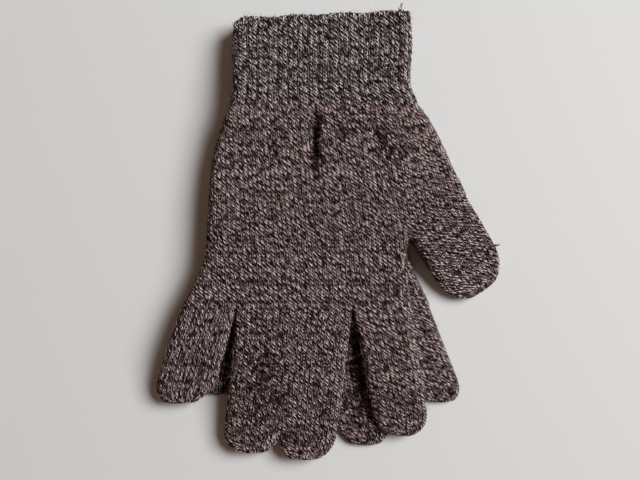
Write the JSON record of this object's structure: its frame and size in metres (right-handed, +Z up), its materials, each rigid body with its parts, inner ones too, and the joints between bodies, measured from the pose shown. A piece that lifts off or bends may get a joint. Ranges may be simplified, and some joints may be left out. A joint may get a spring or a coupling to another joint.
{
  "type": "knitted gloves",
  "caption": "Knitted stretch gloves stacked flat: ribbed cuffs, hollow palms, thumbs and fingers that fold at root and middle.",
  "frame": {"origin": "centre of the pair's outline on the table, at the lower glove's underside", "axes": "+Y along the hand to the cuffs, +X to the thumbs, +Z up off the table"},
  "size_m": [0.153, 0.203, 0.0179],
  "materials": {
    "knit": "stockinette knit, brown and grey marl yarn",
    "rib": "one by one rib knit, brown and grey marl yarn",
    "yarn": "matt twisted yarn",
    "elastic": "matt covered elastic thread"
  },
  "bodies": {
    "lower_hand": {"lower_hand": "knit", "lower_crotch_little_ring": "yarn", "lower_crotch_ring_middle": "yarn", "lower_crotch_middle_index": "yarn", "lower_crotch_thumb": "yarn"},
    "lower_cuff": {"lower_cuff": "rib", "lower_cuff_elastic": "elastic", "lower_cuff_overlock": "yarn", "lower_cuff_yarn_end": "yarn"},
    "lower_thumb_base": {"lower_thumb_base": "knit"},
    "lower_thumb_tip": {"lower_thumb_tip": "knit", "lower_thumb_yarn_end": "yarn"},
    "lower_little_base": {"lower_little_base": "knit"},
    "lower_little_tip": {"lower_little_tip": "knit"},
    "lower_ring_base": {"lower_ring_base": "knit"},
    "lower_ring_tip": {"lower_ring_tip": "knit"},
    "lower_middle_base": {"lower_middle_base": "knit"},
    "lower_middle_tip": {"lower_middle_tip": "knit"},
    "lower_index_base": {"lower_index_base": "knit"},
    "lower_index_tip": {"lower_index_tip": "knit"},
    "upper_hand": {"upper_hand": "knit", "upper_crotch_little_ring": "yarn", "upper_crotch_ring_middle": "yarn", "upper_crotch_middle_index": "yarn", "upper_crotch_thumb": "yarn"},
    "upper_cuff": {"upper_cuff": "rib", "upper_cuff_elastic": "elastic", "upper_cuff_overlock": "yarn", "upper_cuff_yarn_end": "yarn"},
    "upper_thumb_base": {"upper_thumb_base": "knit"},
    "upper_thumb_tip": {"upper_thumb_tip": "knit", "upper_thumb_yarn_end": "yarn"},
    "upper_little_base": {"upper_little_base": "knit"},
    "upper_little_tip": {"upper_little_tip": "knit"},
    "upper_ring_base": {"upper_ring_base": "knit"},
    "upper_ring_tip": {"upper_ring_tip": "knit"},
    "upper_middle_base": {"upper_middle_base": "knit"},
    "upper_middle_tip": {"upper_middle_tip": "knit"},
    "upper_index_base": {"upper_index_base": "knit"},
    "upper_index_tip": {"upper_index_tip": "knit"}
  },
  "joints": [
    {"name": "lower_cuff_fold", "type": "hinge", "parent": "lower_hand", "child": "lower_cuff", "pos_m": [-0.00066, 0.05602, 0], "axis": [-1, 0, 0], "range_deg": [0, 90]},
    {"name": "lower_thumb_root", "type": "hinge", "parent": "lower_hand", "child": "lower_thumb_base", "pos_m": [0.04749, 0.00662, 0], "axis": [0.8191, 0.5737, 0], "range_deg": [0, 90]},
    {"name": "lower_thumb_middle", "type": "hinge", "parent": "lower_thumb_base", "child": "lower_thumb_tip", "pos_m": [0.05737, -0.00843, 0], "axis": [0.8191, 0.5737, 0], "range_deg": [0, 90]},
    {"name": "lower_little_root", "type": "hinge", "parent": "lower_hand", "child": "lower_little_base", "pos_m": [-0.04226, -0.03298, 0], "axis": [1, 0, 0], "range_deg": [0, 90]},
    {"name": "lower_little_middle", "type": "hinge", "parent": "lower_little_base", "child": "lower_little_tip", "pos_m": [-0.04666, -0.05498, 0], "axis": [1, 0, 0], "range_deg": [0, 90]},
    {"name": "lower_ring_root", "type": "hinge", "parent": "lower_hand", "child": "lower_ring_base", "pos_m": [-0.01756, -0.03298, 0], "axis": [1, 0, 0], "range_deg": [0, 90]},
    {"name": "lower_ring_middle", "type": "hinge", "parent": "lower_ring_base", "child": "lower_ring_tip", "pos_m": [-0.02148, -0.06098, 0], "axis": [1, 0, 0], "range_deg": [0, 90]},
    {"name": "lower_middle_root", "type": "hinge", "parent": "lower_hand", "child": "lower_middle_base", "pos_m": [0.00704, -0.03298, 0], "axis": [1, 0, 0], "range_deg": [0, 90]},
    {"name": "lower_middle_middle", "type": "hinge", "parent": "lower_middle_base", "child": "lower_middle_tip", "pos_m": [0.01124, -0.06298, 0], "axis": [1, 0, 0], "range_deg": [0, 90]},
    {"name": "lower_index_root", "type": "hinge", "parent": "lower_hand", "child": "lower_index_base", "pos_m": [0.03204, -0.03298, 0], "axis": [1, 0, 0], "range_deg": [0, 90]},
    {"name": "lower_index_middle", "type": "hinge", "parent": "lower_index_base", "child": "lower_index_tip", "pos_m": [0.0424, -0.06098, 0], "axis": [1, 0, 0], "range_deg": [0, 90]},
    {"name": "upper_glove_lift", "type": "slide", "parent": "lower_hand", "child": "upper_hand", "axis": [0, 0, 1], "range_m": [0, 0.06]},
    {"name": "upper_cuff_fold", "type": "hinge", "parent": "upper_hand", "child": "upper_cuff", "pos_m": [-0.00066, 0.05602, 0.0179], "axis": [1, 0, 0], "range_deg": [0, 90]},
    {"name": "upper_thumb_root", "type": "hinge", "parent": "upper_hand", "child": "upper_thumb_base", "pos_m": [0.04749, 0.00662, 0.0155], "axis": [-0.8191, -0.5737, 0], "range_deg": [0, 90]},
    {"name": "upper_thumb_middle", "type": "hinge", "parent": "upper_thumb_base", "child": "upper_thumb_tip", "pos_m": [0.05737, -0.00843, 0.0155], "axis": [-0.8191, -0.5737, 0], "range_deg": [0, 90]},
    {"name": "upper_little_root", "type": "hinge", "parent": "upper_hand", "child": "upper_little_base", "pos_m": [-0.05396, -0.03298, 0.0155], "axis": [-1, 0, 0], "range_deg": [0, 90]},
    {"name": "upper_little_middle", "type": "hinge", "parent": "upper_little_base", "child": "upper_little_tip", "pos_m": [-0.06078, -0.05498, 0.0155], "axis": [-1, 0, 0], "range_deg": [0, 90]},
    {"name": "upper_ring_root", "type": "hinge", "parent": "upper_hand", "child": "upper_ring_base", "pos_m": [-0.02826, -0.03298, 0.0155], "axis": [-1, 0, 0], "range_deg": [0, 90]},
    {"name": "upper_ring_middle", "type": "hinge", "parent": "upper_ring_base", "child": "upper_ring_tip", "pos_m": [-0.03106, -0.06098, 0.0155], "axis": [-1, 0, 0], "range_deg": [0, 90]},
    {"name": "upper_middle_root", "type": "hinge", "parent": "upper_hand", "child": "upper_middle_base", "pos_m": [-0.00336, -0.03298, 0.0155], "axis": [-1, 0, 0], "range_deg": [0, 90]},
    {"name": "upper_middle_middle", "type": "hinge", "parent": "upper_middle_base", "child": "upper_middle_tip", "pos_m": [-0.00651, -0.06298, 0.0155], "axis": [-1, 0, 0], "range_deg": [0, 90]},
    {"name": "upper_index_root", "type": "hinge", "parent": "upper_hand", "child": "upper_index_base", "pos_m": [0.02234, -0.03298, 0.0155], "axis": [-1, 0, 0], "range_deg": [0, 90]},
    {"name": "upper_index_middle", "type": "hinge", "parent": "upper_index_base", "child": "upper_index_tip", "pos_m": [0.02724, -0.06098, 0.0155], "axis": [-1, 0, 0], "range_deg": [0, 90]}
  ]
}
